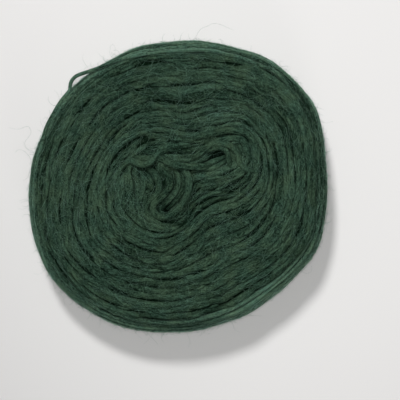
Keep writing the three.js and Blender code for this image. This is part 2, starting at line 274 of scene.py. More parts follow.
# Strands that lie over the wound ones near the crease: half width, half height and the points
# (x, y, z) of the middle, whose ends dip in among the others. Their rings lie closer than the wound
# strand's by OVERLAY_STEP, and they have so many tufts a millimetre.
OVERLAY_STEP = 0.6
OVERLAY_TUFTS = 1.6
OVERLAYS = table(
    "name half route",
    ("arch", (2.3, 1.2), ((5.5, 30.5, 37), (12, 32.5, 39.4), (19, 34.5, 40.1), (24.5, 36, 40.3),
        (30, 37, 40.4), (36, 37.5, 40.5), (42, 36.5, 40.5), (47, 35, 40.4), (50, 31.5, 40.3),
        (51.5, 27, 40), (52, 22, 39.6), (52, 16.5, 38.6), (51.5, 12, 37))),
    ("curl outside", (2.0, 1.2), ((17, 27.5, 37), (20.5, 28.5, 39), (25, 29.5, 39.8), (30.5, 31, 40.1),
        (36, 32, 40.3), (41, 32, 40.3), (44, 30, 40.2), (45.5, 26.5, 40), (46.5, 22.5, 39.8),
        (48, 17.5, 39.2), (49, 13, 37))),
    ("pleat low", (1.8, 1.2), ((15, 10.5, 37), (19, 11, 39), (24, 12, 39.6), (28, 14, 39.6),
        (31.5, 16.5, 39.2), (34, 18.5, 37))),
    ("pleat high", (1.8, 1.2), ((14.5, 13.5, 37), (19, 14.5, 39.2), (23, 16, 39.5), (26.5, 17.5, 39.3),
        (30, 19, 38.8), (33, 20.5, 37))),
    ("curl inside", (2.0, 1.2), ((15, 19.5, 37), (20, 23.5, 39.4), (24.5, 25.5, 40.1), (29, 25.8, 40.4),
        (32.5, 24, 40.6), (34, 20.5, 40.5), (34.5, 16.5, 40.2), (35, 12.5, 39.4), (34.5, 8.5, 37))),
    ("curl", (2.4, 1.3), ((5, 18.5, 37), (9, 19.5, 39.3), (13, 20.5, 39.9), (17, 24, 40.3),
        (20.5, 26.5, 40.5), (24.5, 28.3, 40.7), (29, 28.8, 40.9), (34, 27.8, 41), (38, 25, 41),
        (40.3, 21, 40.9), (41.3, 17, 40.7), (43, 13.5, 40.4), (46.5, 11, 39.9), (50.5, 10, 39),
        (55, 10, 37))),
    ("curl floor", (1.8, 1.2), ((29, 27.5, 37), (32.5, 26.5, 38.6), (36.5, 24, 38.8), (37.5, 19, 38.8),
        (37.5, 14, 38.4), (37, 9.5, 37))),
    ("curl gap", (1.8, 1.1), ((32, 31.5, 36.3), (36.5, 30, 37.8), (40.5, 28, 38.1), (42.5, 24, 38.1),
        (43.8, 19, 37.9), (46.5, 14.5, 36.5))),
    ("tongue outside", (2.2, 1.2), ((-23, 14, 36), (-20.5, 12, 38), (-16.5, 9, 39.3),
        (-13.5, 4.5, 39.8), (-12.5, -0.5, 39.9), (-14.5, -5.5, 39.9), (-18.5, -9, 39.9),
        (-21.5, -12.5, 39.8), (-22, -17, 39.6), (-19.5, -21.5, 39.4), (-15, -25, 39),
        (-8.5, -26.5, 37.5))),
    ("tongue side", (1.9, 1.2), ((-26, 13, 36), (-24.5, 9, 38.6), (-23.5, 4.5, 39.5), (-23, -0.5, 39.6),
        (-24.5, -5.5, 39.6), (-26.5, -10.5, 39.3), (-27, -15.5, 38.6), (-26, -20, 37))),
    ("tongue top", (2.0, 1.2), ((-5, 14, 36), (-2, 11, 38), (0.5, 5.5, 39.6), (0.3, 0, 39.8),
        (-2.2, -5, 39.7), (-5.8, -9.5, 39.4), (-9.2, -13.3, 38.8), (-10.5, -16.5, 37))),
    ("tongue inside", (1.8, 1.2), ((-1.5, 13, 36), (2.5, 9, 38.3), (4.2, 4, 39.3), (4, -0.5, 39.3),
        (2.2, -5, 39.1), (-0.5, -9, 38.8), (-3.8, -12.8, 38.4), (-7.2, -16.2, 37.4))),
    ("tongue", (2.4, 1.3), ((-3, 14.5, 36), (2.5, 12, 38.5), (5.8, 8.5, 40), (7.4, 4, 40.5),
        (7.6, -0.5, 40.6), (6.4, -6, 40.6), (4, -10.8, 40.5), (0.7, -15, 40.4), (-3.5, -18.8, 40.3),
        (-8.3, -21, 40.2), (-13, -20.5, 40.1), (-16.3, -17.5, 40.1), (-16.6, -13.3, 40.1),
        (-13.8, -9.6, 40.1), (-10, -6.5, 40.1), (-7, -3, 40.1), (-5.5, 1, 40), (-6, 5.5, 39.7),
        (-8.5, 10, 38.5), (-11.5, 14, 36))),
    ("bridge", (2.3, 1.4), ((-24, 24.5, 37), (-19, 22.3, 38.8), (-14, 19.5, 40.2), (-8.5, 17, 41.2),
        (-4, 14.8, 41.5), (1.5, 13.6, 41.6), (8, 12.9, 41.4), (15, 12.9, 40.8), (21, 13.2, 39.2),
        (26, 13.5, 37))),
    ("lip inside", (2.0, 1.3), ((3, 23, 37), (-3, 24.2, 38.8), (-8, 24, 40), (-11.5, 22.5, 40.8),
        (-14.5, 19.8, 41.6), (-18, 18.6, 41.6), (-21.5, 18.4, 41), (-25.5, 18.6, 39.8),
        (-29.5, 19.2, 38.5), (-33, 18.8, 37))),
    ("lip", (2.3, 1.4), ((5, 26, 37), (-1, 27, 39), (-6.8, 27, 40), (-11, 25.2, 41),
        (-14.3, 21.4, 41.8), (-17.2, 17, 42.2), (-21, 14.6, 42.2), (-25.2, 14.6, 41.6),
        (-29, 16.2, 40.8), (-32.5, 16.8, 39.6), (-36, 14.5, 38.5), (-39, 10, 37))),
)

# Bends and hollows are only on the upper face, above this height.
FACE_HEIGHT = 30

# Local bends of the turns near the crease: the place (x, y), the move there, and its reach.
BENDS = table(
    "name place move reach",
    ("tongue shoulder", (-13, 5), (4, 0), 9),
    ("tongue foot", (-19, -8), (-3, 0), 8),
)

# Hollows where the wound strands lie lower: the place (x, y), the depth there, and its reach.
HOLLOWS = table(
    "name place depth reach",
    ("pocket", (26.5, 21.2), 5, 4.6),
    ("under the lip", (-17.5, 12), 4, 4),
    ("beside the lip", (-25, 12), 3.2, 3.6),
    ("over the lip", (-20.5, 20.8), 3, 3.2),
    ("lip arch", (-22.4, 30.8), 2, 3.4),
    ("tongue head", (-10, 6.5), 2.2, 7),
    ("tongue", (-3, 0), 1.6, 9),
    ("tongue foot", (-13, -10), 1.6, 9),
    ("tongue side", (10.5, 0.5), 1.6, 3.6),
)

# Stray hairs that stand clear of the wheel: the height of each and its points (x, y). Half their
# thickness is HAIR_HALF, and their rings lie HAIR_STEP apart.
HAIR_HALF = 0.06
HAIR_STEP = 1.2
STRAY_HAIRS = table(
    "name height route",
    ("W upper", 20, ((-97, 22), (-102.5, 24.5), (-104.7, 27.5), (-105.1, 30), (-103.4, 32.6),
        (-101.3, 35.4), (-101, 38.1), (-102.7, 40.8), (-105.4, 40.5), (-107.4, 39.4),
        (-110.8, 39.1), (-116, 40.1))),
    ("W lower", 22, ((-98, 11), (-100.6, 15.6), (-101.3, 19), (-103, 21.8), (-105.4, 23.8),
        (-107.4, 24.8), (-110.2, 24.5), (-111.9, 22.4))),
    ("W low", 22, ((-98, -12), (-102, -9.5), (-105.5, -9), (-109, -10.5))),
    ("N arc", 24, ((10, 98), (15, 106.8), (19.5, 109), (24, 111), (29, 110.4), (33.5, 108.3),
        (38, 106.6))),
    ("NNW", 22, ((-44, 88), (-46, 92), (-46.5, 95.5), (-44.5, 97), (-43, 94), (-43.5, 90))),
    ("NW", 20, ((-60, 79), (-64, 84), (-65.5, 87.5), (-65, 90.5))),
    ("E tip", 24, ((94, 47), (98, 44.9), (101, 43), (106, 44.2))),
    ("S left", 14, ((-26, -96), (-21.5, -101), (-17.5, -105), (-14, -109))),
    ("S right", 14, ((-15, -98), (-18, -102), (-21, -106), (-24, -109))),
)

# Short fibres and locks laid over the turns: how many, the lowest and highest tone, the length, the
# slant in radians, half the thickness, the flatness, the lift, the rings and sides of the tube, and
# how far to either side, in turns, one that bridges a groove looks for its height. Half the
# thickness of a tuft is TUFT_HALF.
FIBRES = by_name(table(
    "name count tone length slant thick flat lift rings sides bridge",
    ("crossing_locks", 5000, (0, 1), 7, 0.7, 0.15, 0.7, 0.3, 4, 3, 0),
    ("matted_wool", 750, (0.3, 0.7), 12, 0.1, 1.0, 0.3, 0, 5, 5, 0.5),
    ("face_hairs", 1900, (0.5, 0.5), 18, 0.7, 0.05, 1, 0.5, 5, 3, 0),
    ("rim_crossing_locks", 1300, (-0.1, 0.9), 7, 0.35, 0.15, 0.7, 0.3, 4, 3, 0),
    ("rim_hairs", 700, (-0.4, -0.4), 12, 0.5, 0.065, 1, 0.5, 4, 3, 0),
    # The outline hairs' tone takes them to their brightest colour, the painted glow of the outline.
    ("outline_hairs", 3100, (1.4, 1.4), 4.5, 0.5, 0.065, 1, 0.9, 4, 3, 0),
))
TUFT_HALF = 0.24

# The loose strand: its thickness and the points of its middle as in the solid model, how flat it
# is, and its rings.
LOOSE_THICKNESS = 2.6
LOOSE_FLATNESS = 0.92
LOOSE_RINGS = 90
LOOSE_ROUTE = (
    (-20.5, 89.5, 39.5), (-28, 88, 39), (-35, 86.5, 38.5), (-47.5, 82.5, 36.5),
    (-53.5, 80, 35), (-59.5, 78, 33), (-65, 76.5, 30), (-69, 75, 28.5), (-71.5, 73, 27.5),
    (-73, 70.5, 27.5), (-73.5, 67.5, 28.5), (-74, 64.5, 30), (-79.5, 57.5, 31.5),
    (-84.5, 49, 32.5), (-89, 40, 34.5), (-91.5, 31.5, 36),
)

# Wool inside the wheel, all in the dark colour as painted shade where it shows between the turns:
# where it starts, in rounds, how far it lies under the skin at most and as a share of the room of a
# turn, and its rings and sides.
CORE_START = 0.1
CORE_DEPTH = 2.6
CORE_SHARE = 0.9
CORE_RINGS = 56
CORE_SIDES = 112

# The wools: the settings that give the dark and the light colour, the scale of the fibre lines in a
# metre along a strand and once round it, the share of the strand's own tone, the strength of the
# bump, and the weight of the sheen.
WOOLS = by_name(table(
    "name dark light along around tone bump sheen",
    ("inner_wool", "dark", "dark", 60, 200, 0.55, 0.4, 0),
    ("face_wool", "dark", "light", 350, 13, 0.55, 0.6, 0.03),
    ("lock_wool", "dark", "light", 350, 3, 0.9, 0.4, 0.03),
    ("hair_wool", "hair", "hair", 170, 3, 0.55, 0, 0.3),
    # The rim colour, used by the rim, its locks and the loose strand, is brightened as painted sheen.
    ("rim_wool", "dark", "rim", 300, 13, 0.55, 0.6, 0.35),
    ("rim_lock_wool", "dark", "rim", 300, 3, 0.55, 0.4, 0.2),
    # The rim's hairs run from the stray hair colour to the painted glow of the outline.
    ("rim_hair_wool", "hair", "fuzz", 170, 3, 0.55, 0, 0.5),
    ("under_wool", "dark", "light", 60, 9, 0.55, 0.5, 0.2),
    ("loose_wool", "dark", "rim", 60, 7, 0.55, 0.5, 0.4),
))
WOOL_SURFACE = {
    "Roughness": 0.8, "Specular IOR Level": 0.01,
    "Sheen Roughness": 0.5, "Sheen Tint": (0.5, 0.8, 0.62, 1),
}
BUMP_DEPTH = 0.0004

# Share of red, green, blue and alpha that the light wool keeps in its warmer patches.
WARM_SHARE = (1.10, 0.95, 0.84, 1)

# Inputs of the fibre lines: scales along and around, how far the lines waver, and the shares of the
# strand's tone, the lines, the speckle, the patches and the painted groove shade in the colour.
FIBRE_LINES = {
    "Along": 160.0, "Around": 10.0, "Waver": 1.5, "Tone Share": 0.55, "Line Share": 1.9,
    "Speckle Share": 1.6, "Patch Share": 0.7, "Groove Share": 0.75,
}

# How far, in metres, the map of each tube is moved on from that of the one before, among the tubes
# of a part.
MAP_SHIFT = 0.37


def smoothstep(value, low, high):
    """0 below low, 1 above high, and the cubic 3u^2 - 2u^3 between them. low may be the larger."""
    u = np.clip((value - low) / (high - low), 0, 1)
    return u * u * (3 - 2 * u)


def unit(vectors):
    """Each vector divided by its own length."""
    return vectors / np.maximum(np.linalg.norm(vectors, axis=-1, keepdims=True), 1e-12)


def catmull_rom(points, t, closed):
    """Uniform Catmull-Rom curve: in each span, the cubic through both ends with slopes half the
    chord between the neighbours. t counts spans."""
    points = np.asarray(points, float)
    count = len(points)
    spans = count if closed else count - 1
    span = np.floor(t).astype(int)
    span = span % spans if closed else np.clip(span, 0, spans - 1)
    u = (t - np.floor(t) if closed else t - span)[..., None]
    index = [span + step for step in (-1, 0, 1, 2)]
    index = [i % count if closed else np.clip(i, 0, count - 1) for i in index]
    before, start, end, after = (points[i] for i in index)
    return 0.5 * (
        2 * start
        + (end - before) * u
        + (2 * before - 5 * start + 4 * end - after) * u**2
        + (3 * start - before - 3 * end + after) * u**3
    )


def plan(turn, t):
    """Place of a turn seen from above at t rounds from the east. Round the wheel each key turn is a
    closed Catmull-Rom curve, and between key turns the place is a cubic in the turn number whose
    slope at a key turn is the chord between its neighbours."""
    turn, t = np.broadcast_arrays(np.asarray(turn, float), np.asarray(t, float))
    numbers = list(KEY_TURNS.values())
    turn = np.clip(turn, numbers[0], numbers[-1])
    side = (t % 1) * len(CHART)
    keys = [catmull_rom([row[name] for row in CHART], side, True) for name in KEY_TURNS]
    slopes = []
    for i in range(len(keys)):
        low, high = max(i - 1, 0), min(i + 1, len(keys) - 1)
        slopes.append((keys[high] - keys[low]) / (numbers[high] - numbers[low]))
    place = np.zeros(turn.shape + (2,))
    for i in range(len(keys) - 1):
        span = numbers[i + 1] - numbers[i]
        u = ((turn - numbers[i]) / span)[..., None]
        here = ((turn >= numbers[i]) & (turn <= numbers[i + 1]))[..., None]
        cubic = (
            (2 * u**3 - 3 * u**2 + 1) * keys[i]
            + (u**3 - 2 * u**2 + u) * span * slopes[i]
            + (3 * u**2 - 2 * u**3) * keys[i + 1]
            + (u**3 - u**2) * span * slopes[i + 1]
        )
        place = np.where(here, cubic, place)
    return place


def lengths_along(points):
    """Distance along a line of points, from its start."""
    return np.concatenate([[0], np.cumsum(np.linalg.norm(np.diff(points, axis=0), axis=1))])


def section_by_distance():
    """The section as a curve by its own length: (distance, turn, height) at close steps."""
    rows = np.array(SECTION, float) * (TURN_PITCH, 1)
    t = np.linspace(0, len(rows) - 1, SECTION_STEPS)
    curve = catmull_rom(rows, t, False)
    return lengths_along(curve), curve[:, 0] / TURN_PITCH, np.maximum(curve[:, 1], 0)


SECTION_CURVE = section_by_distance()


def skin(winding, t):
    """Point of the wheel's smooth skin. The winding counts rounds of the strand from the crease and
    gives the distance along the section, and so the turn and the height. The chart gives the place,
    moved by the bends as bell curves, and a sine wave that fades down the rim gives the swell."""
    distance, turns, heights = SECTION_CURVE
    rounds, reached = ([row[name] for row in WINDING] for name in ("round", "distance"))
    reached = np.interp(winding, rounds, reached)
    turn = np.interp(reached, distance, turns)
    height = np.interp(reached, distance, heights)
    wave = np.sin(2 * np.pi * SWELL_WAVES * t + SWELL_SLANT * turn)
    height = height + SWELL * wave * (height / WHEEL_HEIGHT) ** SWELL_FADE
    place = plan(turn, t)
    for row in BENDS:
        share = np.sum(((place - row["place"]) / row["reach"]) ** 2, axis=-1)
        share = np.exp(-share) * (height > FACE_HEIGHT)
        place = place + share[..., None] * np.array(row["move"], float)
    return np.concatenate([place, height[..., None]], axis=-1)


def skin_frame(winding, t):
    """Point of the skin, its direction across the turns, its outward normal, and the room that one
    turn has there. The directions are differences of the skin over a small step each way."""
    point = skin(winding, t)
    along = skin(winding, t + STEP_ALONG) - skin(winding, t - STEP_ALONG)
    step = skin(winding + STEP_ACROSS, t) - skin(winding - STEP_ACROSS, t)
    outward = unit(np.cross(step, along))
    across = unit(np.cross(along, outward))
    room = np.abs(np.sum(step * across, axis=-1)) / (2 * STEP_ACROSS)
    return point, across, outward, room


def sides_of_line(middle, outward):
    """Directions across a line of points and out of it, both square to the line. The outward
    direction given is about the second one."""
    tangent = unit(np.gradient(middle, axis=-2))
    across = unit(np.cross(tangent, outward))
    return across, np.cross(across, tangent)


def wander(distance, spacing, rng):
    """Smooth random curve between about -1 and 1: a Catmull-Rom curve through random heights at an
    even spacing."""
    count = int(distance[-1] / spacing) + 4
    heights = rng.uniform(-1, 1, count)[:, None]
    return catmull_rom(heights, distance / spacing, False)[:, 0]


def drift(name, distance, rng, calm=1, start=0):
    """The start value with the random curves of a row of WANDERS added, at spacings times calm."""
    curves = (height * wander(distance, spacing * calm, rng) for height, spacing in WANDERS[name])
    return sum(curves, start)


def parting_at(places):
    """How near each place, seen from above, is to a parting, as a share that falls off by a bell
    curve and towards the line's ends, with the sideways move as a vector off the nearest line."""
    near, move = np.zeros(places.shape[:-1]), np.zeros(places.shape[:-1] + (2,))
    for row in PARTINGS:
        t = np.linspace(0, len(row["route"]) - 1, len(row["route"]) * 6)
        line = catmull_rom(row["route"], t, False)
        off = places[..., None, :2] - line
        distance = np.linalg.norm(off, axis=-1)
        nearest = distance.argmin(axis=-1)
        least = np.take_along_axis(distance, nearest[..., None], -1)[..., 0]
        away = np.take_along_axis(off, nearest[..., None, None], -2)[..., 0, :]
        ends = np.minimum(t, t[-1] - t)[nearest]
        share = np.exp(-((least / PARTING_REACH) ** 2)) * smoothstep(ends, -0.2, 0.7)
        near = np.maximum(near, share)
        move += away / np.maximum(least, 0.3)[..., None] * (row["push"] * share)[..., None]
    return near, move


def wound_path(start, stop, step):
    """Rounds at even distances along the spiral that goes one winding outwards a round, and those
    distances."""
    rounds = np.linspace(start, stop, int((stop - start) * CURVE_STEPS))
    length = lengths_along(skin(rounds, rounds % 1))
    even = np.linspace(0, length[-1], max(int(length[-1] / step), 2))
    return np.interp(even, length, rounds), even


def wound_strand(name, step, rng):
    """One stretch of the wound strand as arrays by ring. Its middle is the spiral on the skin,
    moved sideways and outwards by wander, and its width follows the room between the turns. Where
    the turns are crowded every second one sinks, and in the hollows all do, by bell curves."""
    row = STRETCHES[name]
    rounds, distance = wound_path(row["start"], row["stop"], step * row["step"])
    point, across, outward, room = skin_frame(rounds, rounds % 1)
    ease = np.clip(room / STRAND_PITCH, *EASE)
    random = (distance, rng, row["calm"])
    half_width = row["fullness"] * np.clip(HALF_SHARE * room, *HALF_WIDTHS)
    half_width = half_width + ease * drift("width", *random)
    half_height = HALF_HEIGHT + 0.2 * smoothstep(rounds, 12, 6) + drift("height", *random)
    near, move = parting_at(point)
    pushed = np.sum(move * across[:, :2], axis=-1)
    sideways = pushed + (1 - 0.7 * near) * ease * drift("swing", *random)
    second = 0.5 - 0.5 * np.cos(np.pi * rounds)
    sunk = CROWDED_SINK * second * smoothstep(room, 3.0, 2.1)
    sunk = sunk + STRAY_SINK * np.clip(drift("sink", *random) - 0.5, 0, 1)
    sunk = sunk + PARTED_SINK * smoothstep(near, 0.75, 1)
    for hollow in HOLLOWS:
        share = np.sum(((point[:, :2] - hollow["place"]) / hollow["reach"]) ** 2, axis=-1)
        sunk = sunk + hollow["depth"] * np.exp(-share) * (point[:, 2] > FACE_HEIGHT)
    outwards = drift("lift", *random) - sunk - half_height
    # Painted light and shade: the strand's tone is made brighter or darker by the side of the wheel.
    tones = [[tone[row["tones"]]] for tone in SIDE_LIGHT_TONES]
    painted_side_light = catmull_rom(tones, (rounds % 1) * len(SIDE_LIGHT_TONES), True)[:, 0]
    return {
        "rounds": rounds, "distance": distance,
        "middle": point + across * sideways[:, None] + outward * outwards[:, None],
        "across": across, "outward": outward, "half_width": half_width,
        "half_height": half_height, "sideways": sideways, "outwards": outwards, "room": room,
        "tone": drift("tone", *random, 0.5 + painted_side_light),
    }


def laid_strand(route, half_width, half_height, step, rng, waver=1):
    """A strand along a Catmull-Rom curve through given points, flattened towards +Z, as
    arrays by ring. It narrows towards both ends, and the waver scales how its thickness varies."""
    t = np.linspace(0, len(route) - 1, CURVE_STEPS)
    curve = catmull_rom(route, t, False)
    length = lengths_along(curve)
    distance = np.linspace(0, length[-1], int(length[-1] / step) + 2)
    middle = np.stack([np.interp(distance, length, column) for column in curve.T], -1)
    across, outward = sides_of_line(middle, UP)
    full = smoothstep(np.minimum(distance, distance[-1] - distance), 0, 12)
    slim = 0.6 + 0.4 * full
    return {
        "rounds": distance / step, "distance": distance, "middle": middle, "across": across,
        "outward": outward,
        "half_width": (half_width + waver * drift("laid width", distance, rng)) * slim,
        "half_height": (half_height + waver * drift("laid height", distance, rng)) * slim,
        # Only the painted groove shade reads this height: it darkens the sides, most towards the ends.
        "outwards": 1.2 * full - 2.6, "room": np.full(len(distance), 2 * half_width),
        "tone": drift("laid tone", distance, rng, start=0.45),
    }


def read(strand, name, at):
    """A value or vector of the strand, read between its rings at distances along it."""
    values = strand[name]
    if values.ndim == 1:
        return np.interp(at, strand["distance"], values)
    return np.stack([np.interp(at, strand["distance"], column) for column in values.T], -1)


def places_by_area(strand, name, count, rng):
    """Random places on the strand, evenly by area, as its values of that name."""
    area = np.cumsum(strand["room"])
    return np.interp(rng.uniform(0, area[-1], count), area, strand[name])[:, None]


def relief(strand, winding, t, room):
    """Height of the wound strand over the skin: at each place the highest of the oval sections of
    the nearest turns, whose heights are the square root of 1 minus the share across squared."""
    highest = np.full(winding.shape, -3.0)
    first, last = strand["rounds"][[0, -1]]
    for turn in (-1, 0, 1, 2):
        rounds = np.floor(winding - t) + turn + t
        sideways, outwards, half_width, half_height = (
            np.interp(rounds, strand["rounds"], strand[name])
            for name in ("sideways", "outwards", "half_width", "half_height"))
        share = ((winding - rounds) * room - sideways) / half_width
        top = outwards + half_height * np.sqrt(np.clip(1 - share**2, 0, 1))
        inside = (np.abs(share) < 1) & (rounds > first) & (rounds < last)
        highest = np.where(inside, np.maximum(highest, top), highest)
    return highest


def tube(middle, across, outward, half_width, half_height, sides):
    """Grid of points of oval tubes: at each ring, points at even angles, at across times the cosine
    and outward times the sine."""
    angle = 2 * np.pi * np.arange(sides) / sides
    sideways = across[..., None, :] * (half_width[..., None] * np.cos(angle))[..., None]
    outwards = outward[..., None, :] * (half_height[..., None] * np.sin(angle))[..., None]
    return middle[..., None, :] + sideways + outwards


def strand_tube(strand, sides):
    """The strand itself as a tube."""
    return tube(strand["middle"], strand["across"], strand["outward"],
                strand["half_width"], strand["half_height"], sides)


def taper(place):
    """Share of its thickness that a fibre has at a place from -1 to 1 along it, by the square root
    of 1.02 less the place's fourth power."""
    return np.sqrt(np.clip(1.02 - place**4, 0, 1))


def unshaded_share_at(height, top):
    """What the painted groove shade leaves of the wool's colour: 0 deep in a groove, 1 at the top
    height over the skin, smooth between.
    """
    return smoothstep(height, FULL_SHADE_HEIGHT, top)


def tube_faces(tubes, rings, sides):
    """Corners, by number, of the quads that join the rings, and of the fans of triangles that close
    the ends. The fans' middle points are numbered after those of the rings."""
    number = np.arange(tubes * rings * sides).reshape(tubes, rings, sides)
    beside = np.roll(number, -1, axis=2)
    quads = np.stack([number[:, :-1], number[:, 1:], beside[:, 1:], beside[:, :-1]], axis=-1)
    middles = number.size + np.arange(tubes * 2).reshape(tubes, 2, 1)
    middles = np.broadcast_to(middles, (tubes, 2, sides))
    first = np.stack([middles[:, 0], number[:, 0], beside[:, 0]], axis=-1)
    last = np.stack([middles[:, 1], beside[:, -1], number[:, -1]], axis=-1)
    return quads, np.stack([first, last], axis=1)


def tube_map(grid):
    """Map at the corners of the quads and then of the fans: the distance along in metres, moved on
    from tube to tube, and the share of the way round, which is a half on the fans."""
    tubes, _, sides, _ = grid.shape
    steps = np.linalg.norm(np.diff(grid.mean(axis=2), axis=1), axis=-1) * MM
    along = np.concatenate([np.zeros((tubes, 1)), np.cumsum(steps, axis=1)], axis=1)
    along = along + np.arange(tubes)[:, None] * MAP_SHIFT
    low, high = np.arange(sides) / sides, (np.arange(sides) + 1) / sides
    near, far, low, high = np.broadcast_arrays(along[:, :-1, None], along[:, 1:, None], low, high)
    quads = np.stack([near, low, far, low, far, high, near, high], axis=-1)
    fans = np.broadcast_to(along[:, [0, -1], None], (tubes, 2, sides * 3))
    fans = np.stack([fans, np.full(fans.shape, 0.5)], axis=-1)
    return np.concatenate([quads.reshape(-1, 2), fans.reshape(-1, 2)])


def tube_mesh(name, parts):
    """One mesh of closed tubes, in metres, with nothing of it under the floor. Each part is a grid
    of points by ring and side, or by tube, ring and side, the tone that picks its shade, and its
    unshaded share, which is small in a groove, where the colour is darkened as painted shade."""
    points, loops, sizes, maps, values, count = [], [], [], [], {"tone": [], "open": []}, 0
    for grid, tone, unshaded_share in parts:
        grid = grid.reshape(-1, *grid.shape[-3:])
        quads, fans = tube_faces(*grid.shape[:3])
        loops += [count + quads.ravel(), count + fans.ravel()]
        sizes += [np.full(quads.size // 4, 4), np.full(fans.size // 3, 3)]
        maps.append(tube_map(grid))
        points += [grid.reshape(-1, 3), grid[:, [0, -1]].mean(axis=2).reshape(-1, 3)]
        for kind, value in (("tone", tone), ("open", unshaded_share)):
            value = np.broadcast_to(value, grid.shape[:3])
            values[kind] += [value.ravel(), value[:, [0, -1]].mean(axis=2).ravel()]
        count += len(points[-2]) + len(points[-1])
    points, loops, sizes = np.concatenate(points) * MM, np.concatenate(loops), np.concatenate(sizes)
    points[:, 2] = np.maximum(points[:, 2], 0)
    mesh = bpy.data.meshes.new(name)
    mesh.vertices.add(len(points))
    mesh.vertices.foreach_set("co", points.astype(np.float32).ravel())
    mesh.loops.add(len(loops))
    mesh.loops.foreach_set("vertex_index", loops.astype(np.int32))
    mesh.polygons.add(len(sizes))
    starts = np.concatenate([[0], np.cumsum(sizes)[:-1]])
    mesh.polygons.foreach_set("loop_start", starts.astype(np.int32))
    mesh.update(calc_edges=True)
    layer = mesh.uv_layers.new(name="strand_map")
    layer.uv.foreach_set("vector", np.concatenate(maps).astype(np.float32).ravel())
    for kind, value in values.items():
        attribute = mesh.attributes.new(kind, "FLOAT", "POINT")
        attribute.data.foreach_set("value", np.concatenate(value).astype(np.float32))
    mesh.validate()
    mesh.shade_smooth()
    return mesh


def turns(strand, sides=10):
    """The strand's soft body as a part: an oval tube, whose colour is darkened as painted groove
    shade the lower a point lies, and left unshaded on its crest.
    """
    up = np.sin(2 * np.pi * np.arange(sides) / sides) * strand["half_height"][:, None]
    unshaded_share = unshaded_share_at(strand["outwards"][:, None] + up, UNSHADED_STRAND_TOP)
    return strand_tube(strand, sides), strand["tone"][:, None], unshaded_share


def locks(strand, rng, count, spread, calm=1.0, sides=4):
    """Locks of fibre along the strand, each as a part: thin tubes whose middles sit near the
    strand's surface, at angles spread over its outer side, and wander round it."""
    distance = strand["distance"]
    for angle in np.radians(np.linspace(-spread, spread, count)):
        angle = drift("lock angle", distance, rng, calm, angle)
        reach = drift("lock reach", distance, rng, calm, 0.86)
        aside = strand["half_width"] * reach * np.sin(angle)
        up = strand["half_height"] * reach * np.cos(angle)
        middle = strand["middle"] + strand["across"] * aside[:, None]
        middle = middle + strand["outward"] * up[:, None]
        thick = drift("lock thickness", distance, rng, calm, 0.5)
        grid = tube(middle, strand["across"], strand["outward"], thick * 1.15, thick, sides)
        tone = drift("lock tone", distance, rng, start=strand["tone"])
        # Painted groove shade: a lock lying lower round the strand's side is darker.
        height = strand["outwards"] + strand["half_height"] * np.cos(angle)
        yield grid, tone[:, None], unshaded_share_at(height, UNSHADED_STRAND_TOP)[:, None]


def tufts(strand, rng, count, length, twist, rings=5, sides=3):
    """Short tufts on the strand itself, as a part. Each lies at a random place along it, evenly by
    area, at a random angle round its outer side, and turns round it as it goes. It is thickest in
    the middle."""
    place = np.linspace(-1, 1, rings)[None, :]
    at = places_by_area(strand, "distance", count, rng)
    at = at + rng.uniform(0.3, 0.7, (count, 1)) * length * place
    at = np.clip(at, 0, strand["distance"][-1])
    angle = rng.uniform(-1.3, 1.3, (count, 1)) + rng.normal(0, twist, (count, 1)) * place
    lift = rng.uniform(0.92, 1.08, (count, 1))
    across, outward = unit(read(strand, "across", at)), unit(read(strand, "outward", at))
    aside = read(strand, "half_width", at) * lift * np.sin(angle)
    up = read(strand, "half_height", at) * lift * np.cos(angle)
    middle = read(strand, "middle", at) + across * aside[..., None] + outward * up[..., None]
    half = rng.uniform(0.6, 1.4, (count, 1)) * TUFT_HALF * taper(place)
    grid = tube(middle, *sides_of_line(middle, outward), half, 0.7 * half, sides)
    tone = 0.5 * read(strand, "tone", at) + rng.uniform(0, 0.5, (count, 1))
    # Painted groove shade: a tuft lying lower round the strand's side is darker.
    unshaded_share = unshaded_share_at(read(strand, "outwards", at) + up, UNSHADED_STRAND_TOP)
    return grid, tone[..., None], unshaded_share[..., None]


